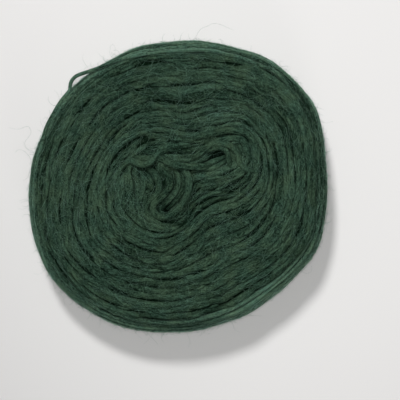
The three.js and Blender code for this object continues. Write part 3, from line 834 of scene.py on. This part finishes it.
def fibres(strand, rng, name):
    """Short fibres or locks laid over the wound strand, as a part, by their row of FIBRES. Each
    starts at a random place, evenly by area, and runs along the turns at a random slant, on the
    relief smoothed along it. One that bridges a groove lies no lower than the lower relief beside
    it. Each is thickest in the middle, the ends of a lifted one dip in, and most stay off the
    partings."""
    row = FIBRES[name]
    count, slant, bridge = row["count"], row["slant"], row["bridge"]
    start = places_by_area(strand, "rounds", count, rng)
    place = np.linspace(-1, 1, row["rings"])[None, :]
    long = rng.uniform(0.6, 1.4, (count, 1)) * row["length"]
    along = 0.5 * long * place
    angle = rng.normal(0, slant, (count, 1)) + rng.normal(0, slant * 0.7, (count, 1)) * place
    t = start % 1
    a_round = np.linalg.norm(skin(start, t + STEP_ALONG) - skin(start, t), axis=-1) / STEP_ALONG
    room = np.interp(start, strand["rounds"], strand["room"])
    t = t + along * np.cos(angle) / a_round
    winding = start + rng.uniform(-0.5, 0.5, (count, 1)) + along * np.sin(angle) / room
    winding = np.clip(winding, *strand["rounds"][[0, -1]])
    point, _, outward, room = skin_frame(winding, t)
    height = relief(strand, winding, t, room)
    if bridge:
        beside = [relief(strand, winding + share, t, room) for share in (-bridge, bridge)]
        height = np.maximum(height, np.minimum(*beside))
    wide = np.concatenate([height[:, :1], height, height[:, -1:]], axis=1)
    height = np.maximum(height, (wide[:, :-2] + wide[:, 1:-1] + wide[:, 2:]) / 3)
    lifted = row["lift"] * rng.uniform(0.4, 1.6, (count, 1)) * (1 - 1.6 * place**2)
    middle = point + outward * (height + lifted)[..., None]
    clear = parting_at(middle[:, ::2])[0].max(axis=1) < rng.uniform(0.3, 1.2, count)
    middle, outward, height = middle[clear], outward[clear], height[clear]
    half = rng.uniform(0.7, 1.3, (len(middle), 1)) * row["thick"] * taper(place)
    sides = sides_of_line(middle, outward)
    grid = tube(middle, *sides, half, half * row["flat"], row["sides"])
    # Painted shade: a fibre is darker where it lies low in a groove, and towards its ends.
    unshaded_share = unshaded_share_at(height, UNSHADED_LAID_TOP) * (1 - 0.4 * place**4)
    low, high = row["tone"]
    tone = rng.uniform(low, high, (len(grid), 1, 1)) if low < high else low
    return grid, tone, unshaded_share[..., None]


def wisps(strand, rng, count, length, thick, tone, rings, sides=3):
    """Stray hairs that stand off the wound strand, as a part. Each leaves at a small angle to the
    turns and turns at an even random rate as it goes, so it is an arc of a circle, or an S where
    the rate changes sign half way."""
    at = rng.uniform(*strand["distance"][[0, -1]], count)
    across, outward = unit(read(strand, "across", at)), unit(read(strand, "outward", at))
    tangent = np.cross(across, outward) * rng.choice([-1, 1], (count, 1))
    place = np.linspace(0, 1, rings)[None, :]
    long = length * rng.uniform(0.3, 1, (count, 1)) ** 1.5
    turn = rng.normal(0, 2.4, (count, 1))
    back = rng.uniform(0, 1, (count, 1)) < 0.3
    bend = turn * np.where(back, np.minimum(place, 1 - place), place)
    angle = rng.uniform(0.1, 0.9, (count, 1)) + bend
    steps = (
        tangent[:, None] * np.cos(angle)[..., None]
        + outward[:, None] * np.sin(angle)[..., None]
        + across[:, None] * (rng.normal(0, 0.4, (count, 1)) * np.ones(rings))[..., None]
    ) * (long / (rings - 1))[..., None]
    start = read(strand, "middle", at) + outward * read(strand, "half_height", at)[:, None]
    middle = start[:, None] + np.cumsum(steps, axis=1) - steps[:, :1]
    middle[..., 2] = np.maximum(middle[..., 2], 0.4)
    along = unit(np.gradient(middle, axis=1))
    side = unit(np.cross(along, outward[:, None]) + 0.01 * across[:, None])
    half = thick * (1.1 - 0.7 * place) * np.ones((count, 1))
    return tube(middle, side, np.cross(side, along), half, half, sides), tone, 1


def add_piece(name, wool, parts, replaces=None):
    """Links the parts as one piece of the wheel, of that wool."""
    piece = bpy.data.objects.new(name, tube_mesh(name, parts))
    piece.data.materials.append(wool_material(wool))
    bpy.context.scene.collection.objects.link(piece)
    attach(piece, BODY)
    if replaces:
        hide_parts(replaces)
    return piece


def node(tree, kind, place, **values):
    """A shader node of that kind at a place, with its inputs and settings by name."""
    made = tree.nodes.new(kind)
    made.location = place
    for name, value in values.items():
        if name in made.inputs:
            made.inputs[name].default_value = value
        else:
            setattr(made, name, value)
    return made


def fibre_group():
    """Shader node group: fine lines along a strand. Noise is stretched along the strand's map and
    bent by a broader noise so that the lines waver. The shade adds it to the strand's own tone, an
    even speckle and broad patches, each less its middle and times its share, and is darkened in the
    grooves as painted shade, by what the unshaded share leaves."""
    group = bpy.data.node_groups.new("fibre_lines", "ShaderNodeTree")
    for name, value in FIBRE_LINES.items():
        socket = group.interface.new_socket(name, in_out="INPUT", socket_type="NodeSocketFloat")
        socket.default_value = value
    for name in ("Shade", "Patch", "Height"):
        group.interface.new_socket(name, in_out="OUTPUT", socket_type="NodeSocketFloat")
    link = group.links.new
    gives = node(group, "NodeGroupInput", (-1300, 0))
    takes = node(group, "NodeGroupOutput", (900, 0))

    def maths(operation, first, second, place):
        made = node(group, "ShaderNodeMath", place, operation=operation)
        for socket, value in zip(made.inputs, (first, second)):
            if isinstance(value, float):
                socket.default_value = value
            else:
                link(value, socket)
        return made.outputs[0]

    def share_of(source, middle, share, place):
        """The source's factor less its middle, times the share."""
        less = maths("SUBTRACT", source.outputs["Fac"], middle, place)
        return maths("MULTIPLY", less, share, (place[0] + 160, place[1]))

    uv = node(group, "ShaderNodeUVMap", (-1300, 250), uv_map="strand_map")
    split = node(group, "ShaderNodeSeparateXYZ", (-1120, 250))
    tone = node(group, "ShaderNodeAttribute", (-1120, -150), attribute_name="tone")
    unshaded_share = node(group, "ShaderNodeAttribute", (0, -250), attribute_name="open")
    link(uv.outputs["UV"], split.inputs[0])
    along = maths("MULTIPLY", split.outputs["X"], gives.outputs["Along"], (-920, 320))
    around = maths("MULTIPLY", split.outputs["Y"], gives.outputs["Around"], (-920, 140))
    depth = maths("MULTIPLY", tone.outputs["Fac"], 23.0, (-920, -40))

    broad_place = node(group, "ShaderNodeCombineXYZ", (-740, 420))
    fine_place = node(group, "ShaderNodeCombineXYZ", (-160, 250))
    for place in (broad_place, fine_place):
        link(along, place.inputs["X"])
        link(depth, place.inputs["Z"])
    broad = node(group, "ShaderNodeTexNoise", (-560, 420), Scale=0.35, Detail=1.0)
    link(around, broad_place.inputs["Y"])
    link(broad_place.outputs[0], broad.inputs["Vector"])
    bend = share_of(broad, 0.5, gives.outputs["Waver"], (-500, 260))
    link(maths("ADD", around, bend, (-300, 120)), fine_place.inputs["Y"])
    fine = node(group, "ShaderNodeTexNoise", (0, 250), Scale=1.0, Detail=5.0, Roughness=0.62)
    link(fine_place.outputs[0], fine.inputs["Vector"])
    link(fine.outputs["Fac"], takes.inputs["Height"])

    where = node(group, "ShaderNodeTexCoord", (-160, -450))
    speck = node(group, "ShaderNodeTexNoise", (0, -450), Scale=1000.0, Detail=2.0, Roughness=0.6)
    patch = node(group, "ShaderNodeTexNoise", (0, -650), Scale=90.0, Detail=3.0, Roughness=0.6)
    for noise in (speck, patch):
        link(where.outputs["Object"], noise.inputs["Vector"])
    link(share_of(patch, 0.35, 3.3, (170, -650)), takes.inputs["Patch"])

    lined = share_of(fine, 0.5, gives.outputs["Line Share"], (170, 250))
    toned = share_of(tone, 0.5, gives.outputs["Tone Share"], (170, 100))
    speckled = share_of(speck, 0.5, gives.outputs["Speckle Share"], (170, -350))
    patched = share_of(patch, 0.5, gives.outputs["Patch Share"], (170, -500))
    total = maths("ADD", lined, toned, (490, 200))
    for value, place in ((0.5, (490, 50)), (speckled, (490, -100)), (patched, (490, -250))):
        total = maths("ADD", total, value, place)
    # Painted groove shade: the colour is darkened where the unshaded share is small.
    groove = share_of(unshaded_share, 1.0, gives.outputs["Groove Share"], (170, -200))
    groove = maths("ADD", groove, 1.0, (490, -400))
    link(maths("MULTIPLY", total, groove, (700, -60)), takes.inputs["Shade"])
    return group


def wool_material(name):
    """Matt wool as the row of WOOLS says: the fibre lines' shade picks a colour between dark and
    light, which is warmer in patches, and their height raises the surface."""
    if name in bpy.data.materials:
        return bpy.data.materials[name]
    row, settings = WOOLS[name], bpy.context.scene.yarn
    dark, light = getattr(settings, row["dark"]), getattr(settings, row["light"])
    warm = tuple(value * share for value, share in zip(light, WARM_SHARE))
    material = bpy.data.materials.new(name)
    material.use_nodes = True
    tree = material.node_tree
    link = tree.links.new
    shader = tree.nodes["Principled BSDF"]
    for surface, value in WOOL_SURFACE.items():
        shader.inputs[surface].default_value = value
    shader.inputs["Sheen Weight"].default_value = row["sheen"]
    group = bpy.data.node_groups.get("fibre_lines") or fibre_group()
    fibre = node(tree, "ShaderNodeGroup", (-700, 100), node_tree=group, name="fibres")
    for socket, column in (("Along", "along"), ("Around", "around"), ("Tone Share", "tone")):
        fibre.inputs[socket].default_value = row[column]
    raised = node(tree, "ShaderNodeBump", (-250, -150), Strength=row["bump"], Distance=BUMP_DEPTH)

    def mix(first, second, share, place):
        made = node(tree, "ShaderNodeMix", place, data_type="RGBA", clamp_factor=True)
        colours = [socket for socket in made.inputs if socket.type == "RGBA"]
        for socket, value in zip(colours, (first, second)):
            if isinstance(value, bpy.types.NodeSocket):
                link(value, socket)
            else:
                socket.default_value = value
        link(share, made.inputs["Factor"])
        return next(socket for socket in made.outputs if socket.type == "RGBA")

    lit = mix(light, warm, fibre.outputs["Patch"], (-500, 350))
    link(mix(dark, lit, fibre.outputs["Shade"], (-300, 200)), shader.inputs["Base Color"])
    link(fibre.outputs["Height"], raised.inputs["Height"])
    link(raised.outputs["Normal"], shader.inputs["Normal"])
    return material


def colour(name, description, *value):
    """A colour that the user can change: red, green, blue and alpha."""
    return bpy.props.FloatVectorProperty(
        name=name, description=description, subtype="COLOR", size=4, default=value, min=0, max=1)


class YarnSettings(bpy.types.PropertyGroup):
    """Sizes and colours of the wheel that a user would change."""

    ring_step: bpy.props.FloatProperty(
        name="Ring step", description="Distance between the strand's rings", default=2.2,
        min=0.5, max=6)
    seed: bpy.props.IntProperty(
        name="Seed", description="Start of the random wander", default=7)
    # The dark colour is painted shade: it stands for the shade between the fibres, and the groove shade
    # and the random tone both darken the wool towards it.
    dark: colour("Dark wool", "Painted shade between the fibres", 0.003, 0.010, 0.005, 1)
    light: colour("Light wool", "Wool on the crests", 0.058, 0.121, 0.083, 1)
    # Painted sheen: the rim's wool is brighter than the face's, for the sheen and the light that the
    # rounded rim catches.
    rim: colour("Rim wool", "Rim wool, brightened as painted sheen", 0.090, 0.184, 0.132, 1)
    hair: colour("Stray hair", "Single hairs over the wool", 0.110, 0.210, 0.160, 1)
    # Painted glow: the fine hairs at the outline are far brighter than the wool, for the light that
    # shines through them.
    fuzz: colour("Rim fuzz", "Fine hairs along the wheel's outline", 0.29, 0.49, 0.40, 1)
    floor: colour("Floor", "Colour of the floor", 0.80, 0.79, 0.78, 1)


class YARN_OT_core(bpy.types.Operator):
    """Fills the wheel with wool a little under its skin, all dark as painted shade between the turns"""

    bl_idname = "yarn.core"
    bl_label = "Inside of the wheel"

    def execute(self, context):
        rings = np.linspace(CORE_START, WINDING[-1]["round"], CORE_RINGS)[:, None]
        t = (np.arange(CORE_SIDES) / CORE_SIDES)[None, :]
        point, _, outward, room = skin_frame(*np.broadcast_arrays(rings, t))
        grid = point - outward * np.minimum(CORE_DEPTH, CORE_SHARE * room)[..., None]
        add_piece("inner_wool", "inner_wool", [(grid, 0.5, 1)], WHEEL_NODE)
        return {"FINISHED"}


class YARN_OT_face(bpy.types.Operator):
    """Winds the strand over the upper face"""

    bl_idname = "yarn.face"
    bl_label = "Upper face"

    def execute(self, context):
        settings = context.scene.yarn
        rng = np.random.default_rng(settings.seed)
        strand = wound_strand("face", settings.ring_step, rng)
        overlay_step = settings.ring_step * OVERLAY_STEP
        overlaid = [laid_strand(row["route"], *row["half"], overlay_step, rng) for row in OVERLAYS]
        add_piece("face_turns", "face_wool", map(turns, (strand, *overlaid)))
        over_locks = [lock for over in overlaid for lock in locks(over, rng, count=2, spread=35)]
        add_piece("face_locks", "face_wool", over_locks)
        face_tufts = partial(tufts, rng=rng, length=5.5, twist=0.6)
        over_tufts = [face_tufts(over, count=int(over["distance"][-1] * OVERLAY_TUFTS))
                      for over in overlaid]
        add_piece("tufts_0", "lock_wool", [*over_tufts, face_tufts(strand, count=5200)])
        add_piece("tufts_1", "lock_wool", [face_tufts(strand, count=5200)])
        for name, wool in (("crossing_locks", "lock_wool"), ("matted_wool", "face_wool"),
                           ("face_hairs", "hair_wool")):
            add_piece(name, wool, [fibres(strand, rng, name)])
        return {"FINISHED"}


class YARN_OT_rim(bpy.types.Operator):
    """Winds the strand down the rim"""

    bl_idname = "yarn.rim"
    bl_label = "Rim"

    def execute(self, context):
        settings = context.scene.yarn
        rng = np.random.default_rng(settings.seed + 1)
        strand = wound_strand("rim", settings.ring_step, rng)
        calm = STRETCHES["rim"]["calm"]
        add_piece("rim_turns", "rim_wool", [turns(strand)])
        add_piece("rim_locks", "rim_wool", locks(strand, rng, count=1, spread=0, calm=calm))
        rim_tufts = tufts(strand, rng, count=3300, length=7, twist=0.5)
        add_piece("rim_tufts", "rim_lock_wool", [rim_tufts])
        crossing = fibres(strand, rng, "rim_crossing_locks")
        add_piece("rim_crossing_locks", "rim_lock_wool", [crossing])

        first, last = WIDEST_ROUNDS
        here = (strand["rounds"] > first) & (strand["rounds"] < last)
        widest = {name: values[here] for name, values in strand.items()}
        hairs = [
            fibres(strand, rng, "rim_hairs"),
            fibres(widest, rng, "outline_hairs"),
            wisps(strand, rng, count=260, length=14, thick=0.05, tone=-0.4, rings=10),
        ]
        for row in STRAY_HAIRS:
            route = [(*place, row["height"]) for place in row["route"]]
            hair = laid_strand(route, HAIR_HALF, HAIR_HALF, HAIR_STEP, rng, waver=0)
            hairs.append((strand_tube(hair, sides=3), -0.4, 1))
        hairs.append(wisps(widest, rng, count=560, length=7, thick=0.08, tone=-0.2, rings=5))
        add_piece("rim_hairs", "rim_hair_wool", hairs)
        return {"FINISHED"}


class YARN_OT_under(bpy.types.Operator):
    """Winds the strand in along the resting face"""

    bl_idname = "yarn.under"
    bl_label = "Resting face"

    def execute(self, context):
        settings = context.scene.yarn
        rng = np.random.default_rng(settings.seed + 2)
        strand = wound_strand("under", settings.ring_step, rng)
        add_piece("under_turns", "under_wool", [turns(strand, sides=8)])
        return {"FINISHED"}


class YARN_OT_loose(bpy.types.Operator):
    """Lays the loose turn beside the rim"""

    bl_idname = "yarn.loose"
    bl_label = "Loose turn"

    def execute(self, context):
        rng = np.random.default_rng(context.scene.yarn.seed + 3)
        t = np.linspace(0, len(LOOSE_ROUTE) - 1, LOOSE_RINGS)
        middle = catmull_rom(LOOSE_ROUTE, t, False)
        distance = lengths_along(middle)
        across, outward = sides_of_line(middle, UP)
        half = np.full(len(t), LOOSE_THICKNESS / 2)
        # Its outwards height only sets the painted groove shade of the tube's sides.
        strand = {
            "middle": middle, "across": across, "outward": outward, "half_width": half,
            "half_height": half * LOOSE_FLATNESS, "outwards": -half,
            "tone": drift("laid tone", distance, rng, start=0.5),
        }
        piece = add_piece("loose_strand", "loose_wool", [turns(strand)], LOOSE_NODE)
        path = middle * MM
        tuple(path[0])
        return {"FINISHED"}


def add_floor(paint):
    """The floor, painted and left out of the part."""
    mesh = bpy.data.meshes.new("floor")
    corners = [(x * FLOOR_HALF, y * FLOOR_HALF, 0) for x, y in ((-1, -1), (1, -1), (1, 1), (-1, 1))]
    mesh.from_pydata(corners, [], [(0, 1, 2, 3)])
    floor = bpy.data.objects.new("floor", mesh)
    bpy.context.scene.collection.objects.link(floor)
    material = bpy.data.materials.new("floor_paint")
    material.use_nodes = True
    shader = material.node_tree.nodes["Principled BSDF"]
    shader.inputs["Base Color"].default_value = paint
    shader.inputs["Roughness"].default_value = FLOOR_ROUGHNESS
    mesh.materials.append(material)


def add_lamp(row):
    """A lamp as its row of LAMPS says, turned towards the middle of the lit place."""
    lamp = bpy.data.lights.new(row["name"], row["kind"])
    lamp.energy = row["energy"]
    if row["kind"] == "SPOT":
        lamp.shadow_soft_size = row["size"] / 2
        lamp.spot_size = 2 * math.atan(row["pool"] / row["reach"])
        lamp.spot_blend = row["blend"]
    else:
        lamp.shape = "DISK"
        lamp.size = row["size"]
    azimuth, elevation = np.radians(row["toward"])
    level = math.cos(elevation)
    toward = np.array([math.cos(azimuth) * level, math.sin(azimuth) * level, math.sin(elevation)])
    light = bpy.data.objects.new(row["name"], lamp)
    light.location = np.array((*row["middle"], 0.0)) * MM + toward * row["reach"]
    light.rotation_mode = "QUATERNION"
    light.rotation_quaternion = Vector(-toward).to_track_quat("-Z", "Y")
    bpy.context.scene.collection.objects.link(light)


class YARN_OT_stage(bpy.types.Operator):
    """Sets the floor, the light and the camera above the wheel"""

    bl_idname = "yarn.stage"
    bl_label = "Stage"

    def execute(self, context):
        scene = context.scene
        add_floor(scene.yarn.floor)
        world = bpy.data.worlds.new("studio")
        world.use_nodes = True
        background = world.node_tree.nodes["Background"]
        background.inputs["Color"].default_value = (1, 1, 1, 1)
        background.inputs["Strength"].default_value = WORLD_STRENGTH
        scene.world = world
        for row in LAMPS:
            add_lamp(row)

        lens = bpy.data.cameras.new("camera")
        camera = bpy.data.objects.new("camera", lens)
        camera.location = (
            (FRAME_PX / 2 - WHEEL_MIDDLE_PX[0]) * PX_MM * MM,
            (WHEEL_MIDDLE_PX[1] - FRAME_PX / 2) * PX_MM * MM,
            CAMERA_HEIGHT,
        )
        field = FRAME_PX * PX_MM * MM
        lens.angle = 2 * math.atan(field / 2 / (CAMERA_HEIGHT - FOCUS_HEIGHT))
        scene.collection.objects.link(camera)
        scene.camera = camera
        scene.view_settings.view_transform = "Standard"
        return {"FINISHED"}


OPERATORS = (YARN_OT_stage, YARN_OT_loose, YARN_OT_core, YARN_OT_face, YARN_OT_rim, YARN_OT_under)


class YARN_PT_panel(bpy.types.Panel):
    """Buttons for the wheel's pieces"""

    bl_idname = "YARN_PT_panel"
    bl_label = "Wheel of unspun yarn"
    bl_space_type = "VIEW_3D"
    bl_region_type = "UI"
    bl_category = "Yarn"

    def draw(self, context):
        for name in YarnSettings.__annotations__:
            self.layout.prop(context.scene.yarn, name)
        for operator in OPERATORS:
            self.layout.operator(operator.bl_idname)


def register():
    for item in (YarnSettings, *OPERATORS, YARN_PT_panel):
        bpy.utils.register_class(item)
    bpy.types.Scene.yarn = bpy.props.PointerProperty(type=YarnSettings)


def unregister():
    del bpy.types.Scene.yarn
    for item in (YARN_PT_panel, *reversed(OPERATORS), YarnSettings):
        bpy.utils.unregister_class(item)


def main():
    """Registers the add-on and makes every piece."""
    register()
    for operator in OPERATORS:
        family, name = operator.bl_idname.split(".")
        getattr(getattr(bpy.ops, family), name)()


if __name__ == "__main__":
    main()
